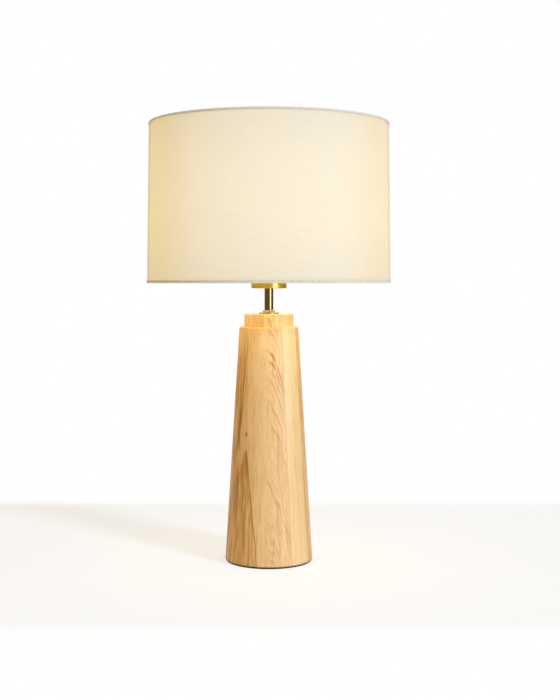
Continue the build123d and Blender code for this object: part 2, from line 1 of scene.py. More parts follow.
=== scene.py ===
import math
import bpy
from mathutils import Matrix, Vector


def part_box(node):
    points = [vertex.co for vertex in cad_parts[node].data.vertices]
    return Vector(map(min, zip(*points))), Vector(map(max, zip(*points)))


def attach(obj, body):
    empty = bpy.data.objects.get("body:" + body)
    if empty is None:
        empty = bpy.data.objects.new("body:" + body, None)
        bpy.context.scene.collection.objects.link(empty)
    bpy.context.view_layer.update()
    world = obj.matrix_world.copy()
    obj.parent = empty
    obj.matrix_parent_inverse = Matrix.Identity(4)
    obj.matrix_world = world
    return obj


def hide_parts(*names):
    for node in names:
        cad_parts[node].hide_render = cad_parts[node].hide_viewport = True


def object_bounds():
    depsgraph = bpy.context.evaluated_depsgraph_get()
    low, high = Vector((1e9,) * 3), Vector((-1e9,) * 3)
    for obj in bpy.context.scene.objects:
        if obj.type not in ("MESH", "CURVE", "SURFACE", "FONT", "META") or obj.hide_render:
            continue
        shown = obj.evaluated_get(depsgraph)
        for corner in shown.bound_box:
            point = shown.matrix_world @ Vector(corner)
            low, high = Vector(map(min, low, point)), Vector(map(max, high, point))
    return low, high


bl_info = {
    "name": "Column Table Lamp",
    "version": (1, 0, 0),
    "blender": (4, 5, 0),
    "location": "3D View > Sidebar > Lamp",
    "description": "Dresses a column table lamp: turned ash, brass and a lit linen shade",
    "category": "Object",
}

from functools import partial

import bmesh
import bpy
from bpy.props import FloatProperty, IntProperty, PointerProperty, StringProperty
from mathutils import Matrix, Vector, noise

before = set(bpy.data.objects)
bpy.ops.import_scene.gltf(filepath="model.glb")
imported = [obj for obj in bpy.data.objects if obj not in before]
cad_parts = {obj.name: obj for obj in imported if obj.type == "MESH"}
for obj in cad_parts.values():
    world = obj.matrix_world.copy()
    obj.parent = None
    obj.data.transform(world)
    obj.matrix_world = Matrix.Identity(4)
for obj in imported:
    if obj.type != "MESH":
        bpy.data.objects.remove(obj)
CAD_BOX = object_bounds()

MM = 0.001
FULL_TURN = 2 * math.pi
# The axis that outlines spin round.
AXIS = {"cent": (0, 0, 0), "axis": (0, 0, 1)}

# Options that many nodes share.
SMOOTH = {"interpolation_type": "SMOOTHSTEP"}
COLOURS = {"data_type": "RGBA"}
MULTIPLY = {"operation": "MULTIPLY"}
MULTIPLY_ADD = {"operation": "MULTIPLY_ADD"}
SUBTRACT = {"operation": "SUBTRACT"}
MAXIMUM = {"operation": "MAXIMUM"}


# ---- helpers


def linear(hex_colour, share=1.0):
    """A share of an sRGB hex colour, as the linear RGBA that a shader socket takes."""
    channels = [int(hex_colour[i : i + 2], 16) / 255 for i in (1, 3, 5)]
    channels = [c / 12.92 if c <= 0.04045 else ((c + 0.055) / 1.055) ** 2.4 for c in channels]
    return tuple(c * share for c in channels) + (1.0,)


def add_node(tree, kind, *values, **settings):
    """Adds a shader node and returns its first output in use.

    Values fill the inputs in use, in order. A setting names an input, with _ for a space, or an option.
    """
    node = tree.nodes.new("ShaderNode" + kind)
    filled = []
    for name, value in settings.items():
        socket_name = name.replace("_", " ")
        if socket_name in node.inputs:
            filled.append((node.inputs[socket_name], value))
        else:
            setattr(node, name, value)
    filled += zip([socket for socket in node.inputs if socket.enabled], values)
    for socket, value in filled:
        if isinstance(value, bpy.types.NodeSocket):
            tree.links.new(value, socket)
        else:
            socket.default_value = value
    return next((socket for socket in node.outputs if socket.enabled), None)


def new_material(name):
    """A material without nodes, and add_node for its tree."""
    material = bpy.data.materials.new(name)
    material.use_nodes = True
    material.node_tree.nodes.clear()
    return material, partial(add_node, material.node_tree)


def in_millimetres(add):
    """Object coordinates in millimetres, so that patterns have real sizes."""
    return add("VectorMath", add("TexCoord").node.outputs["Object"], 1 / MM, operation="SCALE")


def streaks(add, place, size, seed, detail=2, roughness=0.5):
    """Noise whose patches are about size = (x, y, z) millimetres."""
    squeezed = add("VectorMath", place, tuple(1 / length for length in size), **MULTIPLY)
    return add(
        "TexNoise", squeezed, seed, Scale=1.0, Detail=detail, Roughness=roughness, noise_dimensions="4D"
    )


def faded(add, mark, *fades):
    """A mark, faded by each (value, where it is nothing, where it is full)."""
    for value, nothing, full in fades:
        mark = add("MapRange", value, nothing, full, 0.0, mark, **SMOOTH)
    return mark


def seen_rays(add):
    """1 for the rays that show the room: to the camera, in reflections and through glass."""
    rays = add("LightPath").node.outputs
    seen = add("Math", rays["Is Camera Ray"], rays["Is Glossy Ray"], **MAXIMUM)
    return add("Math", seen, rays["Is Transmission Ray"], **MAXIMUM)


def turned_out(degrees, distance, height=0.0):
    """A point at a distance from the axis, turned to the right from the front."""
    angle = math.radians(degrees)
    return Vector((math.sin(angle) * distance, -math.cos(angle) * distance, height))


def centre_level(node):
    """Height of a node's middle."""
    low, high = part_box(node)
    return (low[2] + high[2]) / 2


def dress(material, *nodes):
    """Gives CAD nodes a finish."""
    for name in nodes:
        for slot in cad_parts[name].material_slots:
            slot.material = material


def new_object(name, data):
    """An object in the scene."""
    made = bpy.data.objects.new(name, data)
    bpy.context.scene.collection.objects.link(made)
    return made


def finish_mesh(name, shape, material):
    """Turns a bmesh into an object in the scene."""
    mesh = bpy.data.meshes.new(name)
    shape.to_mesh(mesh)
    shape.free()
    mesh.materials.append(material)
    return new_object(name, mesh)


def finish_piece(name, shape, material, body):
    """Turns a bmesh into a smooth piece that rides on a body."""
    piece = finish_mesh(name, shape, material)
    piece.data.shade_smooth()
    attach(piece, body)
    return piece


def upright_tube(low, high, bottom, top, segments, closed):
    """A bmesh of a tapered tube between two heights, open or closed at its ends."""
    shape = bmesh.new()
    bmesh.ops.create_cone(
        shape, segments=segments, radius1=bottom, radius2=top, depth=high - low, cap_ends=closed
    )
    bmesh.ops.translate(shape, verts=shape.verts, vec=(0, 0, (low + high) / 2))
    return shape


def outward(vert):
    """Level direction from the axis to a vertex."""
    return Vector((vert.co.x, vert.co.y, 0)).normalized()


def thicken(piece, thickness, offset):
    """Gives a sheet its thickness."""
    wall = piece.modifiers.new("thickness", "SOLIDIFY")
    wall.thickness = thickness
    wall.offset = offset
    wall.use_even_offset = True


# ---- settings


def tint(name, description, value):
    """A setting for a colour."""
    return StringProperty(name=name, description=description + ", sRGB hex", default=value)


def number(name, description, value, **options):
    """A setting for a number, whole where its value is."""
    kind = IntProperty if isinstance(value, int) else FloatProperty
    return kind(name=name, description=description, default=value, **options)


class LinenSettings(bpy.types.PropertyGroup):
    linen: tint("Linen", "Bleached flax as woven", "#96938F")
    slub: tint("Slub", "Thicker, darker stretches of yarn", "#908D88")
    glow: tint("Glow", "Lamplight through the cloth, seen square on", "#FFEEC9")
    side_glow: tint("Side glow", "Lamplight through the cloth at its sides", "#FFE4A9")
    glow_strength: number("Glow strength", "Light through the cloth", 0.66, min=0)
    film: tint("Film", "White lampshade film", "#F4EFE3")
    inner_light: tint("Inner light", "Lamplight on the film", "#FFE8B4")
    inner_glow: number("Inner glow", "How bright the film is inside", 0.4, min=0)
    slub_length: number("Slub length", "Usual length of a slub in mm", 26.0, min=1)
    slub_width: number("Slub width", "Usual width of a slub in mm", 1.5, min=0.1)
    segments: number("Segments", "Steps round the shade", 600, min=32)
    rows: number("Rows", "Steps up the shade", 24, min=2)
    cloth: number("Cloth", "Thickness of the linen", 0.0005, unit="LENGTH")
    lap_width: number("Lap", "Width of the glued lap", 0.010, unit="LENGTH")
    lap_rise: number("Lap rise", "How proud it stands", 0.00035, unit="LENGTH")
    slack: number("Slack", "How far the cloth wavers", 0.00014, unit="LENGTH")
    turning: number("Turning", "Linen under each hem", 0.002, unit="LENGTH")


class HemSettings(bpy.types.PropertyGroup):
    hem: tint("Hem", "Several layers of linen over the wire", "#EAE3D5")
    glow: tint("Glow", "The little lamplight that comes through", "#FFE5AE")
    glow_strength: number("Glow strength", "Light through the hem", 0.02, min=0)
    tape: number("Tape", "Thickness of the hem strip", 0.00035, unit="LENGTH")
    top_leg: number("Top leg", "Top hem's outer height", 0.0027, unit="LENGTH")
    bottom_leg: number("Bottom leg", "Bottom hem's outer height", 0.0032, unit="LENGTH")
    puckers: number("Puckers", "Small gathers round a hem's glued edge", 84)
    segments: number("Segments", "Steps round each hem", 480, min=32)


class FrameSettings(bpy.types.PropertyGroup):
    enamel: tint("Enamel", "White enamelled wire", "#EFECE4")


class WoodSettings(bpy.types.PropertyGroup):
    pale: tint("Pale wood", "Sapwood, oiled", "#F4D49D")
    warm: tint("Warm wood", "Middle tone", "#E8BC7E")
    deep: tint("Deep wood", "Heartwood", "#C48A36")
    heart: tint("Heart", "Darkest heartwood", "#A26A22")
    ring: tint("Ring line", "Coarse-pored early wood", "#A06424")
    knot: tint("Knot", "Pin knot", "#8A4F1C")
    # Painted shadow: a dark band along the foot's bottom edge, for the shade between the wood and the felt.
    painted_foot_shadow: tint("Foot edge", "Polish and dust along the foot's edge", "#2B1D10")
    ring_spacing: number("Ring spacing", "Width of a growth ring in mm", 1.6)


class FootSettings(bpy.types.PropertyGroup):
    felt: tint("Felt", "Black wool felt", "#16100B")
    bushing: tint("Bushing", "Brown nylon", "#3B2A1D")
    iron: tint("Iron", "Painted cast iron", "#2F2F31")


class BrassSettings(bpy.types.PropertyGroup):
    cup: tint("Cup", "Satin brass, lacquered", "#C4AA24")
    # A darker brass than the cup's: partly aged brass, partly painted shade that darkens the stem's
    # reflections.
    stem: tint("Stem", "Polished brass, aged", "#8F7844")


class SteelSettings(bpy.types.PropertyGroup):
    zinc: tint("Zinc", "Zinc-plated steel", "#B9BBBE")


class HolderSettings(bpy.types.PropertyGroup):
    porcelain: tint("Porcelain", "Glazed core", "#E9E4D8")
    phenolic: tint("Phenolic", "Black casing", "#241E1B")
    contact: tint("Contact brass", "Stamped brass", "#D8B568")


class BulbSettings(bpy.types.PropertyGroup):
    opal: tint("Opal", "Diffusing plastic globe", "#CFC8BC")
    light: tint("Light", "Warm white", "#FFE3AE")
    strength: number("Strength", "How bright the globe glows", 0.6, min=0)
    housing: tint("Housing", "White moulded plastic", "#EDEBE6")
    nickel: tint("Nickel", "Nickel-plated cap", "#C6C3BC")
    glass: tint("Insulator", "Black glass at the cap's tip", "#141416")
    mask: tint("Solder mask", "White face of the LED board", "#E6E6E2")
    phosphor: tint("Phosphor", "Yellow face of an LED", "#F2D25C")
    laminate: tint("Laminate", "Green driver board", "#2C6A40")


class StageSettings(bpy.types.PropertyGroup):
    floor: tint("Floor", "White paper", "#FCFDFF")
    floor_paper: number("Floor paper", "Share of the floor's own white", 0.56)
    key: tint("Key light", "Cool daylight softbox", "#C6DDFF")
    key_power: number("Key power", "Softbox at the right", 452.0, unit="POWER")
    key_size: number("Key size", "Side of the softbox", 1.4, unit="LENGTH")
    key_turn: number("Key turn", "How far right it stands", math.radians(45), unit="ROTATION")
    key_rise: number("Key rise", "How far up it stands", math.radians(25), unit="ROTATION")
    key_distance: number("Key distance", "From the lamp", 8.0, unit="LENGTH")
    fill: tint("Fill light", "Warm room light on matt surfaces", "#FFEABE")
    fill_strength: number("Fill strength", "Room light on matt surfaces", 0.56)
    glow: tint("Lamplight", "Light thrown down by the lit shade", "#FFEDAE")
    glow_power: number("Lamplight power", "All its lights", 0.40, unit="POWER")
    glow_lights: number("Lamplights", "How many ring the shade's inside", 6, min=1)
    card_distance: number("Cards", "From the lamp", 1.0, unit="LENGTH")
    card_height: number("Card height", "Above the floor", 0.75, unit="LENGTH")
    camera_distance: number("Camera distance", "To the lamp", 1.446, unit="LENGTH")
    camera_height: number("Camera height", "Above floor", 0.340, unit="LENGTH")
    lens: number("Lens", "Focal length on a 36 mm high frame, in mm", 60.3)


# ---- cloth and film


def linen_material(settings):
    """Slub linen on white film. Flax yarn is matt and uneven, and its slubs show as short level streaks.

    Lit from inside, it is paler seen square on, and deeper at its sides, where light crosses more yarn.
    """
    material, add = new_material("slub_linen")
    place = add("VectorMath", add("UVMap", uv_map="cloth"), 1 / MM, operation="SCALE")
    run, height, _ = add("SeparateXYZ", place).node.outputs
    weft = streaks(add, place, (settings.slub_length, settings.slub_width, 1), 1, detail=3)
    warp = streaks(add, place, (settings.slub_width * 0.8, settings.slub_length * 1.6, 1), 7)
    # The real weave has 15 threads to a centimetre. It is drawn at 1.3 mm, so that it can show.
    weave = streaks(add, place, (1.3, 1.3, 1), 3, detail=1)
    yarns = add("CombineXYZ", weft, warp, weave)
    thread = add("VectorMath", yarns, (0.5, 0.3, 0.2), operation="DOT_PRODUCT")
    thickness = add("MapRange", thread, 0.36, 0.64, **SMOOTH)
    cloud = streaks(add, place, (60, 45, 1), 5)
    thin_spots = streaks(add, place, (8.0, 1.1, 1), 11, detail=0)

    # The rims, far from the bulb, glow less, and so do the very sides, where the cloth is seen edge on.
    # Thick yarn and the lap's double cloth hold light back, and thin spots let more of it through.
    grazing = add("LayerWeight", 0.5).node.outputs["Facing"]
    level = add("Math", height, 0.01, -0.96, **MULTIPLY_ADD)
    squared = add("Math", level, level, **MULTIPLY)
    shine = add("Math", squared, -0.15, 1.03, **MULTIPLY_ADD)
    shine = add("Math", shine, faded(add, 0.05, (thin_spots, 0.68, 0.76)), operation="ADD")
    lap_end = settings.lap_width / MM
    lap = faded(add, 1.0, (run, -0.4, 0.4), (run, lap_end + 0.4, lap_end - 0.4))
    for factor in (
        add("MapRange", thickness, 0.0, 1.0, 1.006, 0.994),
        add("MapRange", cloud, 0.3, 0.7, 0.985, 1.015),
        add("MapRange", lap, 0.0, 1.0, 1.0, 0.86),
        add("MapRange", grazing, 0.76, 0.92, 1.0, 0.76, **SMOOTH),
        settings.glow_strength,
    ):
        shine = add("Math", shine, factor, **MULTIPLY)
    side = add("MapRange", grazing, 0.12, 0.62, **SMOOTH)
    shader = add(
        "BsdfPrincipled",
        Base_Color=add("Mix", thickness, linear(settings.linen), linear(settings.slub), **COLOURS),
        Roughness=0.9,
        Sheen_Weight=0.1,
        Sheen_Roughness=0.5,
        Specular_IOR_Level=0.2,
        Emission_Color=add("Mix", side, linear(settings.glow), linear(settings.side_glow), **COLOURS),
        Emission_Strength=shine,
        Normal=add("Bump", 0.3, 0.25 * MM, Height=thread),
    )
    add("OutputMaterial", shader)
    return material


def film_material(settings):
    """Laminated white film inside the linen: satin plastic, faintly marked by the cloth behind it."""
    material, add = new_material("lampshade_film")
    place = in_millimetres(add)
    ghost = streaks(add, place, (9.0, 9.0, 1.6), 4)
    tone = add("MapRange", ghost, 0.35, 0.65, **SMOOTH)
    level = add("SeparateXYZ", place).node.outputs["Z"]
    # It is brightest level with the globe, and this many mm above or below that it has lost a third.
    reach = 110
    away = add("Math", level, 1 / reach, -centre_level("bulb_globe") / MM / reach, **MULTIPLY_ADD)
    squared = add("Math", away, away, **MULTIPLY)
    shine = add("Math", squared, -0.35, 1.0, **MULTIPLY_ADD)
    shader = add(
        "BsdfPrincipled",
        Base_Color=add("Mix", tone, linear(settings.film, 0.93), linear(settings.film), **COLOURS),
        Roughness=0.45,
        Emission_Color=linear(settings.inner_light),
        Emission_Strength=add("Math", shine, settings.inner_glow, **MULTIPLY),
        Normal=add("Bump", 0.3, 0.05 * MM, Height=ghost),
    )
    add("OutputMaterial", shader)
    return material


def angle_from_back(point):
    """Angle round the axis, 0 at the back, from -pi to pi."""
    return math.atan2(-point[0], point[1])


# How far the linen is drawn in, so that its slack stays within the shade's real size.
SLACK_ROOM = 0.0001


def linen_skin(settings, material):
    """The linen: a tapered tube with a glued lap at the back. Its UV map follows the threads, in metres."""
    low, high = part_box("shade_fabric")
    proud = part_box("bottom_trim")[1][0] - high[0]
    top_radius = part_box("top_trim")[1][0] - proud
    shape = upright_tube(low[2], high[2], high[0], top_radius, settings.segments, closed=False)
    upright = [edge for edge in shape.edges if abs(edge.verts[0].co.z - edge.verts[1].co.z) > MM]
    bmesh.ops.subdivide_edges(shape, edges=upright, cuts=settings.rows - 1)
    for vert in shape.verts:
        around = angle_from_back(vert.co) * high[0]
        lap = settings.lap_rise if 0 <= around <= settings.lap_width else 0.0
        past = around - settings.lap_width
        if 0 < past < settings.lap_width:
            lap = settings.lap_rise * (1 - past / settings.lap_width) ** 2
        # Slow waves, about 55 mm across and 90 mm tall.
        slack = settings.slack * noise.noise(Vector((vert.co.x * 18, vert.co.y * 18, vert.co.z * 11)))
        vert.co += outward(vert) * (lap + slack - SLACK_ROOM)
    cloth = shape.loops.layers.uv.new("cloth")
    for face in shape.faces:
        middle = angle_from_back(face.calc_center_median())
        for loop in face.loops:
            angle = angle_from_back(loop.vert.co)
            if abs(angle - middle) > math.pi:
                angle += math.copysign(FULL_TURN, middle)
            loop[cloth].uv = (angle * high[0], loop.vert.co.z - low[2])
    piece = finish_piece("linen_skin", shape, material, "shade")
    thicken(piece, settings.cloth, -1)
    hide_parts("shade_fabric")
    round_length = FULL_TURN * (high[0] + top_radius) / 2 + settings.lap_width
    return piece, (round_length, high[2] - low[2] + 2 * settings.turning)


class LAMP_OT_linen(bpy.types.Operator):
    """Make the shade's linen, and finish the film inside it"""

    bl_idname = "lamp.linen"
    bl_label = "Linen and film"

    def execute(self, context):
        settings = context.scene.lamp_linen
        skin, cut = linen_skin(settings, linen_material(settings))
        dress(film_material(settings), "shade_liner")
        return {"FINISHED"}


# ---- hems


def hem_material(settings):
    """The same linen over wire. Its layers let hardly any light through, so it looks cooler and greyer."""
    material, add = new_material("rolled_linen_hem")
    yarn = streaks(add, in_millimetres(add), (3.0, 3.0, 0.7), 2, detail=3)
    tone = add("MapRange", yarn, 0.3, 0.7, **SMOOTH)
    shader = add(
        "BsdfPrincipled",
        Base_Color=add("Mix", tone, linear(settings.hem, 0.75), linear(settings.hem), **COLOURS),
        Roughness=0.92,
        Sheen_Weight=0.2,
        Specular_IOR_Level=0.2,
        Emission_Color=linear(settings.glow),
        Emission_Strength=settings.glow_strength,
        Normal=add("Bump", 0.7, 0.2 * MM, Height=yarn),
    )
    add("OutputMaterial", shader)
    return material


# How deep the puckers along a hem's glued edge are, and how far the whole hem wavers.
PUCKER_DEPTH = 0.00022
HEM_SLACK = 0.00006


def rolled_hem(settings, material, name, trim, wire, leg):
    """A strip of linen rolled over a wire ring: a short leg outside, round the wire, and glued inside."""
    trim_low, trim_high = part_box(trim)
    wire_low, wire_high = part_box(wire)
    at_top = wire_low[2] > centre_level("shade_fabric")
    side = -1 if at_top else 1
    rim = trim_high[2] if at_top else trim_low[2]
    glued = trim_low[2] if at_top else trim_high[2]
    half = settings.tape / 2
    outside = trim_high[0] - half
    wire_radius = (wire_high[2] - wire_low[2]) / 2
    ring = wire_high[0] - wire_radius
    level = centre_level(wire)
    wrap = abs(rim - level) - half
    # The strip's path: the leg and its rounded edge, round the wire in nine steps, and back along the film.
    path = [
        (outside, rim + side * leg),
        (outside, rim + side * 2 * settings.tape),
        (outside - settings.tape * 0.3, rim + side * settings.tape),
        (outside - settings.tape, rim + side * half),
    ]
    for step in range(9):
        angle = math.radians(-90 - 14 * step)
        path.append((ring + wrap * math.cos(angle), level + side * wrap * math.sin(angle)))
    path.append((ring - wrap * 0.55, level + side * wrap * 0.95))
    path.append((ring + wire_radius - half, glued - side * half))
    shape = bmesh.new()
    verts = [shape.verts.new((radius, 0, height)) for radius, height in path]
    edges = [shape.edges.new(pair) for pair in zip(verts, verts[1:])]
    spun = verts + edges
    bmesh.ops.spin(shape, geom=spun, angle=FULL_TURN, steps=settings.segments, use_merge=True, **AXIS)
    bmesh.ops.remove_doubles(shape, verts=shape.verts, dist=1e-6)
    bmesh.ops.recalc_face_normals(shape, faces=shape.faces)
    for vert in shape.verts:
        reach = math.hypot(vert.co.x, vert.co.y)
        angle = math.atan2(vert.co.y, vert.co.x)
        inner = 1.0 if reach < ring - wrap * 0.4 else 0.0
        drift = 3 * noise.noise(Vector((angle * 4, 0, 0)))
        pucker = PUCKER_DEPTH * inner * math.sin(settings.puckers * angle + drift)
        slack = HEM_SLACK * noise.noise(vert.co * 90)
        vert.co += outward(vert) * (pucker + slack)
    piece = finish_piece(name, shape, material, "shade")
    thicken(piece, settings.tape, 0)
    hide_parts(trim)


class LAMP_OT_hems(bpy.types.Operator):
    """Roll the two linen hems over their wires"""

    bl_idname = "lamp.hems"
    bl_label = "Rolled hems"

    def execute(self, context):
        settings = context.scene.lamp_hems
        hem = hem_material(settings)
        rolled_hem(settings, hem, "top_hem", "top_trim", "top_wire", settings.top_leg)
        rolled_hem(settings, hem, "bottom_hem", "bottom_trim", "bottom_wire", settings.bottom_leg)
        return {"FINISHED"}


# ---- shade frame


def enamel_material(settings):
    """White stove enamel on wire: thick, glossy, a little orange-peel."""
    material, add = new_material("stove_enamel")
    place = in_millimetres(add)
    tone = streaks(add, place, (14, 14, 14), 8)
    shader = add(
        "BsdfPrincipled",
        Base_Color=add("Mix", tone, linear(settings.enamel, 0.9), linear(settings.enamel), **COLOURS),
        Roughness=0.28,
        Normal=add("Bump", 0.4, 0.03 * MM, Height=streaks(add, place, (1.2, 1.2, 1.2), 6)),
    )
    add("OutputMaterial", shader)
    return material


def arm_angles():
    """Angles of the spider's arms, read from their outer ends, which lie over half a radian apart."""
    points = [vert.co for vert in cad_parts["spider_arms"].data.vertices]
    reach = max(point.xy.length for point in points)
    angles = []
    for point in points:
        angle = math.atan2(point.y, point.x)
        at_end = point.xy.length > reach - 2 * MM
        if at_end and all(abs(math.remainder(angle - other, FULL_TURN)) > 0.5 for other in angles):
            angles.append(angle)
    return angles


# How lumpy a weld bead is, as a share of its size.
BEAD_LUMPS = 0.12


def weld_beads(material):
    """Small beads of weld where each spider arm meets the fitter ring and the bottom wire."""
    ring_low, ring_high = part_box("fitter_ring")
    wire_low, wire_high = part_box("bottom_wire")
    wire_radius = (wire_high[2] - wire_low[2]) / 2
    # Distance from the axis, height, and half sizes out, across and up, of the two beads on an arm.
    beads = (
        (ring_high[0] - 0.0004, ring_low[2] - 0.0004, (0.0019, 0.0021, 0.0012)),
        (wire_high[0] - 2.4 * wire_radius, wire_high[2] - 0.0006, (0.0014, 0.0023, 0.0017)),
    )
    shape = bmesh.new()
    for angle in arm_angles():
        for distance, level, size in beads:
            spot = Vector((math.cos(angle) * distance, math.sin(angle) * distance, level))
            made = bmesh.ops.create_icosphere(shape, subdivisions=3, radius=1.0)["verts"]
            turn = Matrix.Rotation(angle, 4, "Z") @ Matrix.Diagonal((*size, 1))
            bmesh.ops.transform(shape, matrix=Matrix.Translation(spot) @ turn, verts=made)
            for vert in made:
                vert.co += (vert.co - spot) * BEAD_LUMPS * noise.noise(vert.co * 900)
    finish_piece("weld_beads", shape, material, "shade")


class LAMP_OT_shade_frame(bpy.types.Operator):
    """Enamel the shade's wires, fitter ring and arms, and add their weld beads"""

    bl_idname = "lamp.shade_frame"
    bl_label = "Shade frame"

    def execute(self, context):
        enamel = enamel_material(context.scene.lamp_frame)
        dress(enamel, "top_wire", "bottom_wire", "fitter_ring", "spider_arms")
        weld_beads(enamel)
        return {"FINISHED"}


# ---- wood

# Left edge of each stave of a blank in mm, and its tone from deep to pale.
COLUMN_STAVES = ((-60.0, 0.54), (-25.0, 0.61), (-11.5, 0.66), (21.6, 0.79), (31.0, 0.72), (39.0, 0.44))
NECK_STAVES = ((-60.0, 0.66), (-3.0, 0.92))
# Depth, strength, lower end and upper end in mm of the three dark rings in the column's upper half.
DARK_RINGS = ((19.8, 0.8, 198.0, 262.0), (21.2, 0.5, 196.0, 250.0), (22.5, 0.3, 170.0, 236.0))
# Place across and up the front in mm, half width, half height and strength of the knots.
KNOTS = ((-27.2, 158.0, 1.4, 3.6, 0.75), (-32.0, 158.5, 1.0, 1.8, 0.28))
# Height of the tip of the column's dark heart in mm.
HEART_TIP = 141.0
# Where the middle stave's marks are gone at its right edge, and where they are full, in mm.
MIDDLE_END = (22.0, 21.4)
# How far behind the axis the front's marks are gone, and where they are full, in mm.
FRONT_END = (4.0, -4.0)


def wood_material(settings, name, staves, shift, front_marks=None):
    """Oiled ash turned from a glued-up block: its growth rings are flat, and the cone cuts them into arches.

    Oil makes it warm, with a low gloss. shift moves the grain along the block in mm, so that pieces differ.
    """
    material, add = new_material(name)
    place = in_millimetres(add)
    x, y, z = add("SeparateXYZ", place).node.outputs
    moved = add("VectorMath", place, (0, 0, shift), operation="ADD")
    # The staves fan out towards the foot, and lean to the right there.
    fan = add("Math", x, 0.0007, 0.028, **MULTIPLY_ADD)
    stave_x = add("Math", add("Math", z, 140.0, **SUBTRACT), fan, x, **MULTIPLY_ADD)
    tone, glue = stave_tones(add, stave_x, staves)

    # Growth rings face the front, tipped to the left and down. Low on the blank they wander.
    depth = add("VectorMath", place, (-0.12, -1.0, -0.07), operation="DOT_PRODUCT")
    wander = add("MapRange", z, 170.0, 130.0, 2.4, 6.5, **SMOOTH)
    wave = add("Math", streaks(add, moved, (11, 11, 42), 23), 0.5, **SUBTRACT)
    ripple = add("Math", streaks(add, moved, (6, 6, 40), 5, detail=1), 0.5, **SUBTRACT)
    rippled = add("Math", ripple, 0.8, depth, **MULTIPLY_ADD)
    waved = add("Math", wave, wander, rippled, **MULTIPLY_ADD)
    # They show in the middle stave, and low down they start further to the left.
    left_limit = add("Math", wander, 1.6, stave_x, **MULTIPLY_ADD)
    middle = faded(add, 1.0, (left_limit, 4.0, 11.0), (stave_x, *MIDDLE_END))
    line = growth_rings(add, waved, middle, settings.ring_spacing)

    # Fibre: long fine streaks, and the short dark dashes of open pores, drawn 1 mm wide so that they show.
    fibre = streaks(add, moved, (1.7, 1.7, 70), 9, detail=3, roughness=0.6)
    broad = streaks(add, moved, (6.5, 6.5, 260), 12)
    pores = faded(add, 0.25, (streaks(add, moved, (0.9, 0.9, 9), 14, detail=1), 0.64, 0.76))
    tone = add("Math", add("Math", fibre, 0.5, **SUBTRACT), 0.85, tone, **MULTIPLY_ADD)
    tone = add("Math", add("Math", broad, 0.5, **SUBTRACT), 0.5, tone, **MULTIPLY_ADD)
    # Painted shadow: the foot's lowest 2 to 3 mm are darkened, for the shade where the wood meets the felt.
    painted_foot_shadow = faded(add, 0.65, (z, 3.4, 2.1))
    marks = [(share, settings.ring) for share in (line, glue, pores)] + [(painted_foot_shadow, settings.painted_foot_shadow)]
    if front_marks:
        dark, front = front_marks(add, settings, x, y, z, stave_x, depth, ripple)
        streak = add("MapRange", streaks(add, moved, (2.6, 2.6, 120), 17), 0.38, 0.62, -0.14, -0.66, **SMOOTH)
        tone = add("Math", dark, streak, tone, **MULTIPLY_ADD)
        marks += front
    body = add("ValToRGB", tone)
    ramp = body.node.color_ramp
    ramp.elements[0].color = linear(settings.heart)
    ramp.elements[1].color = linear(settings.pale)
    ramp.elements.new(0.25).color = linear(settings.deep)
    ramp.elements.new(0.59).color = linear(settings.warm)
    for share, colour in marks:
        body = add("Mix", share, body, linear(colour), **COLOURS)
    grain = add("Math", pores, -2.0, fibre, **MULTIPLY_ADD)
    shader = add(
        "BsdfPrincipled",
        Base_Color=body,
        Roughness=add("MapRange", fibre, 0.0, 1.0, 0.42, 0.58),
        Coat_Weight=0.08,
        Coat_Roughness=0.3,
        Normal=add("Bump", 0.6, 0.05 * MM, Height=grain),
    )
    add("OutputMaterial", shader)
    return material


def stave_tones(add, stave_x, staves):
    """Each stave's own tone, and the thin dark glue lines between staves."""
    half_block = -staves[0][0]
    tone = add("ValToRGB", add("MapRange", stave_x, -half_block, half_block))
    ramp = tone.node.color_ramp
    ramp.interpolation = "CONSTANT"
    nearest = half_block
    for index, (edge, shade) in enumerate(staves):
        place = (edge + half_block) / (2 * half_block)
        stop = ramp.elements[index] if index < 2 else ramp.elements.new(place)
        stop.position = place
        stop.color = (shade, shade, shade, 1.0)
        gap = add("Math", add("Math", stave_x, edge, **SUBTRACT), operation="ABSOLUTE")
        nearest = add("Math", nearest, gap, operation="MINIMUM")
    return tone, faded(add, 0.25, (nearest, 0.5, 0.0))


def growth_rings(add, depth, middle, spacing):
    """A thin line of early wood in each ring, of its own strength, and faint outside the middle stave."""
    rings = add("Math", depth, spacing, operation="DIVIDE")
    across = add("Math", rings, operation="FRACT")
    odds = add("TexWhiteNoise", add("Math", rings, operation="FLOOR"), noise_dimensions="1D")
    line = add("MapRange", odds, 0.1, 1.0, 0.1, 1.0, **SMOOTH)
    line = faded(add, line, (across, 0.0, 0.18), (across, 0.75, 0.2))
    return add("Math", line, add("MapRange", middle, 0.0, 1.0, 0.07, 0.46), **MULTIPLY)


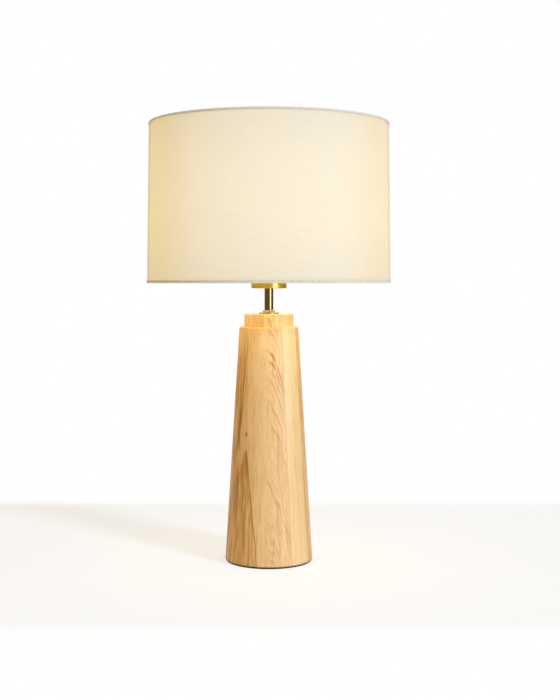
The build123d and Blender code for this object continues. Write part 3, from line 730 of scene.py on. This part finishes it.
def column_front(add, settings, x, y, z, stave_x, depth, ripple):
    """How much deeper the column's front is in its left flank, heart and right band, and its marks."""
    wiggle = add("Math", ripple, 2.4, **MULTIPLY)
    inward = add("Math", wiggle, y, **SUBTRACT)
    # Partly dark wood, partly painted shade: the left flank, turned away from the light, is darkened, less so
    # near the top.
    flank = faded(add, 0.6, (inward, 27.8, 26.0), (z, 282.0, 208.0))
    seam = faded(add, 0.9, (inward, 28.2, 27.0), (inward, 25.4, 26.8), (z, 150.0, 175.0), (z, 292.0, 236.0))
    flank = faded(add, add("Math", flank, seam, **MAXIMUM), (x, -8.0, -14.0))

    # Below its tip, 27 mm to the left, the heart's edges run down to the right and to the left.
    below = add("Math", HEART_TIP, z, **SUBTRACT)
    tip_x = add("Math", wiggle, 27.0, **SUBTRACT)
    edge = add("Math", below, 0.097, tip_x, **MULTIPLY_ADD)
    inside = add("Math", edge, x, **SUBTRACT)
    left = add("Math", below, 0.32, x, **MULTIPLY_ADD)
    heart = faded(add, add("MapRange", z, 0.0, 140.0, 0.32, 0.65), (inside, -0.4, 0.6))
    heart = faded(add, heart, (left, -28.0, -26.4))
    rim = faded(add, 0.6, (inside, -0.5, 0.4), (inside, 2.6, 0.5), (z, -60.0, 60.0), (z, 142.0, 138.0))

    rings = 0.0
    waved = add("Math", ripple, 1.6, depth, **MULTIPLY_ADD)
    for level, strength, bottom, top in DARK_RINGS:
        offset = add("Math", add("Math", waved, level, **SUBTRACT), operation="ABSOLUTE")
        ring = faded(add, strength, (offset, 0.55, 0.06), (z, bottom, bottom + 14), (z, top, top - 10))
        rings = add("Math", rings, ring, **MAXIMUM)
    rings = faded(add, rings, (x, -6.0, -2.0), (stave_x, *MIDDLE_END))

    knots = 0.0
    for knot_x, knot_z, half_width, half_height, strength in KNOTS:
        offset = add("VectorMath", add("CombineXYZ", x, z), (knot_x, knot_z, 0), **SUBTRACT)
        reach = add("VectorMath", offset, (1 / half_width, 1 / half_height, 0), **MULTIPLY)
        reach = add("VectorMath", reach, operation="LENGTH")
        knots = add("Math", knots, faded(add, strength, (reach, 1.3, 0.3)), **MAXIMUM)
    band = faded(add, 0.22, (stave_x, 3.0, 9.0), (stave_x, *MIDDLE_END))
    dark = add("Math", add("Math", flank, heart, **MAXIMUM), band, **MAXIMUM)
    marks = ((rim, settings.ring), (rings, settings.ring), (knots, settings.knot))
    marks = [(faded(add, share, (y, *FRONT_END)), colour) for share, colour in marks]
    return faded(add, dark, (y, *FRONT_END)), marks


class LAMP_OT_wood(bpy.types.Operator):
    """Finish the column and its neck in oiled ash"""

    bl_idname = "lamp.wood"
    bl_label = "Column and neck"

    def execute(self, context):
        settings = context.scene.lamp_wood
        dress(wood_material(settings, "oiled_ash_column", COLUMN_STAVES, 0.0, column_front), "column")
        dress(wood_material(settings, "oiled_ash_neck", NECK_STAVES, 400.0), "neck")
        return {"FINISHED"}


# ---- foot


def felt_material(settings):
    """Black wool felt: deep matt, with stray fibres that catch the light."""
    material, add = new_material("wool_felt")
    fuzz = streaks(add, in_millimetres(add), (0.8, 0.8, 0.8), 3, detail=4, roughness=0.7)
    lint = add("MapRange", fuzz, 0.45, 0.7, **SMOOTH)
    shader = add(
        "BsdfPrincipled",
        Base_Color=add("Mix", lint, linear(settings.felt), linear(settings.felt, 2.5), **COLOURS),
        Roughness=1.0,
        Sheen_Weight=0.04,
        Specular_IOR_Level=0.1,
        Normal=add("Bump", 0.8, 0.3 * MM, Height=fuzz),
    )
    add("OutputMaterial", shader)
    return material


# Roughness of each moulded, cast or fired finish, and the width and depth of its texture in mm.
MOULDED = {
    "moulded_nylon": (0.5, 0.6, 0.02),
    "cast_iron_paint": (0.7, 1.5, 0.2),
    "porcelain": (0.55, 1.0, 0.03),
    "phenolic": (0.4, 0.8, 0.02),
    "moulded_housing": (0.4, 0.8, 0.02),
    "black_glass": (0.12, 3.0, 0.02),
    "white_solder_mask": (0.35, 0.7, 0.01),
    "led_phosphor": (0.5, 0.5, 0.01),
    "green_laminate": (0.35, 0.6, 0.02),
}


def moulded_material(name, colour):
    """Moulded, cast or fired stuff: a little uneven in tone, with the mould's fine texture."""
    material, add = new_material(name)
    roughness, width, depth = MOULDED[name]
    place = in_millimetres(add)
    tone = streaks(add, place, (16, 16, 16), 6)
    texture = streaks(add, place, (width, width, width), 4)
    shader = add(
        "BsdfPrincipled",
        Base_Color=add("Mix", tone, linear(colour, 0.85), linear(colour), **COLOURS),
        Roughness=roughness,
        Normal=add("Bump", 0.5, depth * MM, Height=texture),
    )
    add("OutputMaterial", shader)
    return material


# How far the felt's edge is rounded, about how far its cut wavers inward, and its steps round.
FELT_EDGE = 0.0004
FELT_WAVER = 0.00018
FELT_SEGMENTS = 180


def felt_disc(material):
    """The felt pad: a cut disc whose edge is soft and not quite even."""
    low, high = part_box("felt_pad")
    shape = upright_tube(low[2], high[2], high[0], high[0], FELT_SEGMENTS, closed=True)
    rims = [edge for edge in shape.edges if abs(edge.verts[0].co.z - edge.verts[1].co.z) < 1e-6]
    bmesh.ops.bevel(
        shape, geom=rims, offset=FELT_EDGE, segments=3, profile=0.5, affect="EDGES", material=-1
    )
    for vert in shape.verts:
        vert.co -= outward(vert) * FELT_WAVER * (1 + noise.noise(vert.co * 260))
    piece = finish_piece("felt_disc", shape, material, "lamp_base")
    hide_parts("felt_pad")


class LAMP_OT_foot(bpy.types.Operator):
    """Make the felt pad, and finish the weight and the cord's bushing"""

    bl_idname = "lamp.foot"
    bl_label = "Foot"

    def execute(self, context):
        settings = context.scene.lamp_foot
        felt_disc(felt_material(settings))
        dress(moulded_material("moulded_nylon", settings.bushing), "cord_bushing")
        dress(moulded_material("cast_iron_paint", settings.iron), "foot_weight")
        return {"FINISHED"}


# ---- metal


# Roughness and lacquer of each brass finish, and roughness and width of grain in mm of each plated one.
BRASSES = {"satin_brass": (0.30, 0.9), "polished_brass": (0.09, 1.0), "stamped_brass": (0.28, 0.4)}
PLATINGS = {"zinc_plate": (0.32, 2.5), "nickel_plate": (0.2, 4.0)}


def brass_material(name, colour):
    """Turned brass: fine lathe rings, a faint cloud of patina, and the clear gloss of its lacquer."""
    material, add = new_material(name)
    roughness, lacquer = BRASSES[name]
    place = in_millimetres(add)
    x, y, z = add("SeparateXYZ", place).node.outputs
    radius = add("VectorMath", add("CombineXYZ", x, y), operation="LENGTH")
    # Tool marks are 0.05 mm apart on the real piece, and 0.5 mm here, to show.
    marks = streaks(add, add("CombineXYZ", radius, 0.0, z), (0.5, 0.5, 0.5), 1)
    patina = faded(add, 0.3, (streaks(add, place, (14, 14, 14), 3), 0.4, 0.65))
    rough = add("Math", marks, 0.06, roughness, **MULTIPLY_ADD)
    shader = add(
        "BsdfPrincipled",
        Base_Color=add("Mix", patina, linear(colour), linear(colour, 0.75), **COLOURS),
        Metallic=1.0,
        Roughness=add("Math", patina, 0.15, rough, **MULTIPLY_ADD),
        Coat_Weight=lacquer,
        Coat_Roughness=0.12,
        Coat_IOR=1.8,
        Normal=add("Bump", 0.25, 0.01 * MM, Height=marks),
    )
    add("OutputMaterial", shader)
    return material


def plated_material(name, colour):
    """Plated metal: bright, with a fine crystalline mottling."""
    material, add = new_material(name)
    roughness, width = PLATINGS[name]
    grain = streaks(add, in_millimetres(add), (width, width, width), 2, detail=3)
    tone = add("MapRange", grain, 0.35, 0.65, **SMOOTH)
    shader = add(
        "BsdfPrincipled",
        Base_Color=add("Mix", tone, linear(colour, 0.78), linear(colour), **COLOURS),
        Metallic=1.0,
        Roughness=add("Math", grain, 0.15, roughness, **MULTIPLY_ADD),
        Normal=add("Bump", 0.3, 0.02 * MM, Height=grain),
    )
    add("OutputMaterial", shader)
    return material


class LAMP_OT_brass(bpy.types.Operator):
    """Finish the stem and its seat, and the lampholder's cup, skirt and ring"""

    bl_idname = "lamp.brass"
    bl_label = "Brass"

    def execute(self, context):
        settings = context.scene.lamp_brass
        dress(brass_material("satin_brass", settings.cup), "holder_cup", "holder_skirt", "shade_ring")
        dress(brass_material("polished_brass", settings.stem), "stem_tube", "stem_seat")
        return {"FINISHED"}


class LAMP_OT_steel(bpy.types.Operator):
    """Finish the zinc-plated rod, washer, nut and screws"""

    bl_idname = "lamp.steel"
    bl_label = "Steel"

    def execute(self, context):
        zinc = plated_material("zinc_plate", context.scene.lamp_steel.zinc)
        dress(zinc, "threaded_rod", "rod_washer", "rod_nut", "grub_screw", "terminal_screws")
        return {"FINISHED"}


# ---- lampholder and bulb


class LAMP_OT_holder(bpy.types.Operator):
    """Finish the lampholder's core, casing and contacts"""

    bl_idname = "lamp.holder"
    bl_label = "Lampholder"

    def execute(self, context):
        settings = context.scene.lamp_holder
        contact = brass_material("stamped_brass", settings.contact)
        dress(contact, "terminals", "contact_tongue", "contact_rivets", "screw_shell")
        dress(moulded_material("porcelain", settings.porcelain), "holder_core")
        dress(moulded_material("phenolic", settings.phenolic), "holder_casing")
        return {"FINISHED"}


def opal_material(settings):
    """Opal polycarbonate globe, lit: near white, brightest over the LED board."""
    material, add = new_material("opal_globe")
    place = in_millimetres(add)
    cloud = streaks(add, place, (12, 12, 12), 5)
    level = add("SeparateXYZ", place).node.outputs["Z"]
    low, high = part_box("bulb_globe")
    glow = add("MapRange", level, low[2] / MM, high[2] / MM, 0.75, 1.0, **SMOOTH)
    shader = add(
        "BsdfPrincipled",
        Base_Color=add("Mix", cloud, linear(settings.opal, 0.95), linear(settings.opal), **COLOURS),
        Roughness=0.35,
        Emission_Color=linear(settings.light),
        Emission_Strength=add("Math", glow, settings.strength, **MULTIPLY),
    )
    add("OutputMaterial", shader)
    return material


class LAMP_OT_bulb(bpy.types.Operator):
    """Finish the bulb, lit, with the boards and cap inside it"""

    bl_idname = "lamp.bulb"
    bl_label = "Bulb"

    def execute(self, context):
        settings = context.scene.lamp_bulb
        dress(opal_material(settings), "bulb_globe")
        dress(moulded_material("moulded_housing", settings.housing), "bulb_housing")
        dress(plated_material("nickel_plate", settings.nickel), "bulb_cap", "bulb_contact")
        dress(moulded_material("black_glass", settings.glass), "bulb_insulator")
        dress(moulded_material("white_solder_mask", settings.mask), "led_board")
        dress(moulded_material("led_phosphor", settings.phosphor), "leds")
        dress(moulded_material("green_laminate", settings.laminate), "driver_board")
        return {"FINISHED"}


# ---- stage

# Each reflected card: its name, the angles to the right of the front between which it stands, its colour and
# how bright it is.
CARDS = (
    ("left_card", -138, 28, "#8C8268", 1.0),
    ("window_card", 28, 58, "#FFFFFF", 4.8),
    ("right_card", 58, 145, "#625843", 1.0),
    ("back_card", 145, 175, "#FFFFFF", 1.2),
)
CARD_STEPS = 24
# Where the floor begins to turn white and where it is, in mm: behind the lamp, in front of it and beside it.
WHITE_BEHIND = (335.0, 400.0)
WHITE_IN_FRONT = (-260.0, -330.0)
WHITE_ASIDE = (420.0, 760.0)
# How bright the paper near the lamp is to the camera, to make up for the share of it that is matt.
NEAR_PAPER = 1.125
# How far the floor reaches from the lamp, and how far it lies below the felt.
FLOOR_REACH = 6.0
FLOOR_GAP = 0.0002
# The lamplights: radius of their ring, height above the shade's opening, how far below it they aim, and size.
GLOW_RADIUS = 0.118
GLOW_RISE = 0.09
GLOW_AIM = 0.04
GLOW_SIZE = 0.05
# The photograph's size, and where in it the lamp's axis and the horizon are, in pixels.
PHOTO_WIDTH = 560.0
PHOTO_HEIGHT = 700.0
AXIS_X = 268.9
HORIZON_Y = 283.2


class LAMP_OT_stage(bpy.types.Operator):
    """Set up the white room: floor, softbox, cards, lamplight, world and camera"""

    bl_idname = "lamp.stage"
    bl_label = "Stage"

    def execute(self, context):
        settings = context.scene.lamp_stage
        scene = context.scene
        scene.view_settings.view_transform = "Standard"
        self.floor(settings)
        self.cards(settings)
        self.softbox(settings)
        self.lamplight(settings)
        self.room(settings, scene)
        self.camera(settings, scene)
        return {"FINISHED"}

    def floor(self, settings):
        """White paper that, to the camera, keeps a share of the shadow and fades to pure white far off."""
        material, add = new_material("white_paper")
        x, y, _ = add("SeparateXYZ", in_millimetres(add)).node.outputs
        far = add("MapRange", y, *WHITE_BEHIND, **SMOOTH)
        for value, fade in ((y, WHITE_IN_FRONT), (add("Math", x, operation="ABSOLUTE"), WHITE_ASIDE)):
            far = add("Math", far, add("MapRange", value, *fade, **SMOOTH), **MAXIMUM)
        white = add("Mix", far, linear(settings.floor), linear("#FFFFFF"), **COLOURS)
        paper = add("Emission", white, add("MapRange", far, 0.0, 1.0, NEAR_PAPER, 1.0))
        matt = add(
            "BsdfPrincipled", Base_Color=linear(settings.floor, 0.98), Roughness=0.9, Specular_IOR_Level=0.1
        )
        seen = seen_rays(add)
        share = add("MapRange", far, 0.0, 1.0, settings.floor_paper, 1.0)
        share = add("Math", seen, share, **MULTIPLY)
        mixed = add("MixShader", share, matt, paper)
        # From below the floor is clear, so that the underside shows.
        below = add("NewGeometry").node.outputs["Backfacing"]
        add("OutputMaterial", add("MixShader", below, mixed, add("BsdfTransparent")))
        shape = bmesh.new()
        bmesh.ops.create_grid(shape, x_segments=1, y_segments=1, size=FLOOR_REACH)
        bmesh.ops.translate(shape, verts=shape.verts, vec=(0, 0, CAD_BOX[0][2] - FLOOR_GAP))
        finish_mesh("floor", shape, material)

    def cards(self, settings):
        """Cards that only reflections see, for the dark and bright bands of polished brass in a studio."""
        for name, start, end, colour, strength in CARDS:
            material, add = new_material(name)
            add("OutputMaterial", add("Emission", linear(colour), strength))
            shape = bmesh.new()
            foot = shape.verts.new(turned_out(start, settings.card_distance))
            bmesh.ops.spin(shape, geom=[foot], angle=math.radians(end - start), steps=CARD_STEPS, **AXIS)
            risen = bmesh.ops.extrude_edge_only(shape, edges=shape.edges)["geom"]
            risen = [item for item in risen if isinstance(item, bmesh.types.BMVert)]
            bmesh.ops.translate(shape, verts=risen, vec=(0, 0, settings.card_height))
            card = finish_mesh(name, shape, material)
            card.visible_camera = card.visible_diffuse = card.visible_shadow = False

    def area_light(self, name, power, colour, size, place, back):
        """A square light at a place, with its back to a direction."""
        light = bpy.data.lights.new(name, "AREA")
        light.size = size
        light.energy = power
        light.color = linear(colour)[:3]
        holder = new_object(name, light)
        holder.location = place
        holder.rotation_euler = back.to_track_quat("Z", "Y").to_euler()
        holder.visible_camera = False

    def softbox(self, settings):
        """One far softbox, up and to the right of the front."""
        level = math.cos(settings.key_rise)
        toward = turned_out(math.degrees(settings.key_turn), level, math.sin(settings.key_rise))
        middle = Vector((0, 0, (CAD_BOX[0][2] + CAD_BOX[1][2]) / 2))
        place = middle + toward * settings.key_distance
        self.area_light("softbox", settings.key_power, settings.key, settings.key_size, place, toward)

    def lamplight(self, settings):
        """A ring of small warm lights in the shade, for the light that the lit film throws on the column."""
        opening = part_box("shade_liner")[0][2]
        for index in range(settings.glow_lights):
            place = turned_out(360 * (index + 0.5) / settings.glow_lights, GLOW_RADIUS, opening + GLOW_RISE)
            back = place - Vector((0, 0, opening - GLOW_AIM))
            power = settings.glow_power / settings.glow_lights
            self.area_light("lamplight", power, settings.glow, GLOW_SIZE, place, back)

    def room(self, settings, scene):
        """A white room to the camera, which gives matt surfaces a warm fill light."""
        world = bpy.data.worlds.new("white_room")
        scene.world = world
        world.use_nodes = True
        add = partial(add_node, world.node_tree)
        fill = linear(settings.fill, settings.fill_strength)
        colour = add("Mix", seen_rays(add), fill, linear("#FFFFFF"), **COLOURS)
        world.node_tree.links.new(colour, world.node_tree.nodes["Background"].inputs["Color"])

    def camera(self, settings, scene):
        """A level camera, shifted so that the lamp stands where the photograph has it."""
        lens = bpy.data.cameras.new("camera")
        lens.sensor_fit = "VERTICAL"
        lens.sensor_height = 36.0
        lens.lens = settings.lens
        lens.shift_x = (PHOTO_WIDTH / 2 - AXIS_X) / PHOTO_HEIGHT
        lens.shift_y = -(PHOTO_HEIGHT / 2 - HORIZON_Y) / PHOTO_HEIGHT
        camera = new_object("camera", lens)
        camera.location = (0, -settings.camera_distance, settings.camera_height)
        camera.rotation_euler = (math.pi / 2, 0, 0)
        scene.camera = camera


# ---- panel and registration

# Each operator, with its settings and their name on the scene.
GROUPS = (
    ("lamp_linen", LinenSettings, LAMP_OT_linen),
    ("lamp_hems", HemSettings, LAMP_OT_hems),
    ("lamp_frame", FrameSettings, LAMP_OT_shade_frame),
    ("lamp_wood", WoodSettings, LAMP_OT_wood),
    ("lamp_foot", FootSettings, LAMP_OT_foot),
    ("lamp_brass", BrassSettings, LAMP_OT_brass),
    ("lamp_steel", SteelSettings, LAMP_OT_steel),
    ("lamp_holder", HolderSettings, LAMP_OT_holder),
    ("lamp_bulb", BulbSettings, LAMP_OT_bulb),
    ("lamp_stage", StageSettings, LAMP_OT_stage),
)


class LAMP_PT_panel(bpy.types.Panel):
    """Lists the lamp's pieces"""

    bl_idname = "LAMP_PT_panel"
    bl_label = "Column table lamp"
    bl_space_type = "VIEW_3D"
    bl_region_type = "UI"
    bl_category = "Lamp"

    def draw(self, context):
        for name, _, operator in GROUPS:
            box = self.layout.box()
            box.operator(operator.bl_idname)
            settings = getattr(context.scene, name)
            for setting in settings.__annotations__:
                box.prop(settings, setting)


def register():
    for name, settings, operator in GROUPS:
        bpy.utils.register_class(settings)
        bpy.utils.register_class(operator)
        setattr(bpy.types.Scene, name, PointerProperty(type=settings))
    bpy.utils.register_class(LAMP_PT_panel)


def unregister():
    bpy.utils.unregister_class(LAMP_PT_panel)
    for name, settings, operator in GROUPS:
        delattr(bpy.types.Scene, name)
        bpy.utils.unregister_class(operator)
        bpy.utils.unregister_class(settings)


def main():
    register()
    bpy.ops.lamp.stage()
    bpy.ops.lamp.linen()
    bpy.ops.lamp.hems()
    bpy.ops.lamp.shade_frame()
    bpy.ops.lamp.wood()
    bpy.ops.lamp.foot()
    bpy.ops.lamp.brass()
    bpy.ops.lamp.steel()
    bpy.ops.lamp.holder()
    bpy.ops.lamp.bulb()


if __name__ == "__main__":
    main()
